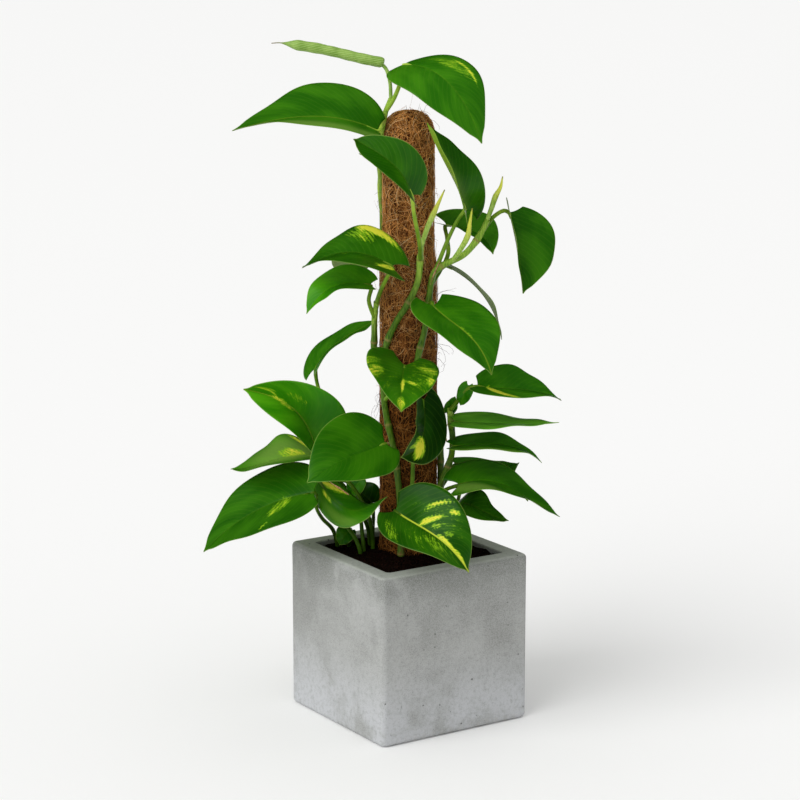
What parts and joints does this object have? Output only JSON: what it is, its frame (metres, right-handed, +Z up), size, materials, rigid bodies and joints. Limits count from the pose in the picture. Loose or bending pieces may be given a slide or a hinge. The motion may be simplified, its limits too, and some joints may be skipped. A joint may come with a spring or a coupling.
{
  "type": "potted pothos on a coir pole",
  "caption": "Climbing pothos with heart-shaped variegated leaves on a coir-wrapped pole, planted in a square concrete planter.",
  "frame": {"origin": "middle of the planter's flat foot, on the surface it stands on", "axes": "+Z up along the pole; +X and +Y square to the planter's sides; the plant's best side looks 33 degrees off -Y towards -X"},
  "size_m": [0.3563, 0.3218, 0.7131],
  "materials": {
    "concrete": "matt cast concrete with fine pores",
    "potting_soil": "loose dark potting soil",
    "coir": "rough matted coir fibre",
    "stake_wood": "plain sawn wood",
    "stem": "smooth green stem",
    "leaf": "satin leaf with a light wax gloss and yellow variegation",
    "young_leaf": "satin rolled young leaf"
  },
  "bodies": {
    "root": {"planter": "concrete", "soil": "potting_soil", "coir_sleeve": "coir", "pole_core": "stake_wood", "vine_left": "stem", "vine_crossing": "stem", "vine_right": "stem", "vine_top": "stem", "vine_low_right": "stem", "leaf_top_rolled": "young_leaf", "leaf_top_right": "leaf", "leaf_top_left": "leaf", "leaf_pole_top": "leaf", "leaf_upright_folded": "leaf", "leaf_small_behind": "leaf", "leaf_far_right": "leaf", "leaf_edge_on": "leaf", "leaf_right_middle": "leaf", "leaf_left_upper": "leaf", "leaf_left_under": "leaf", "leaf_left_curled": "leaf", "leaf_heart": "leaf", "leaf_left_middle": "leaf", "leaf_dark_front": "leaf", "leaf_cupped_front": "leaf", "leaf_front_variegated": "leaf", "leaf_low_left": "leaf", "leaf_left_pale": "leaf", "leaf_low_curled": "leaf", "leaf_low_pale": "leaf", "leaf_low_small": "leaf", "leaf_low_dark": "leaf", "leaf_right_upper": "leaf", "leaf_right_thin": "leaf", "leaf_right_third": "leaf", "leaf_right_low": "leaf", "leaf_right_behind": "leaf", "leaf_right_dark": "leaf", "leaf_right_small": "leaf", "leaf_back_top": "leaf", "leaf_back_upper": "leaf", "leaf_back_middle": "leaf", "leaf_back_left": "leaf", "leaf_back_low_left": "leaf", "leaf_back_low": "leaf", "leaf_back_low_right": "leaf", "shoot_centre": "young_leaf", "shoot_right": "young_leaf", "shoot_sheath": "young_leaf"}
  },
  "joints": []
}
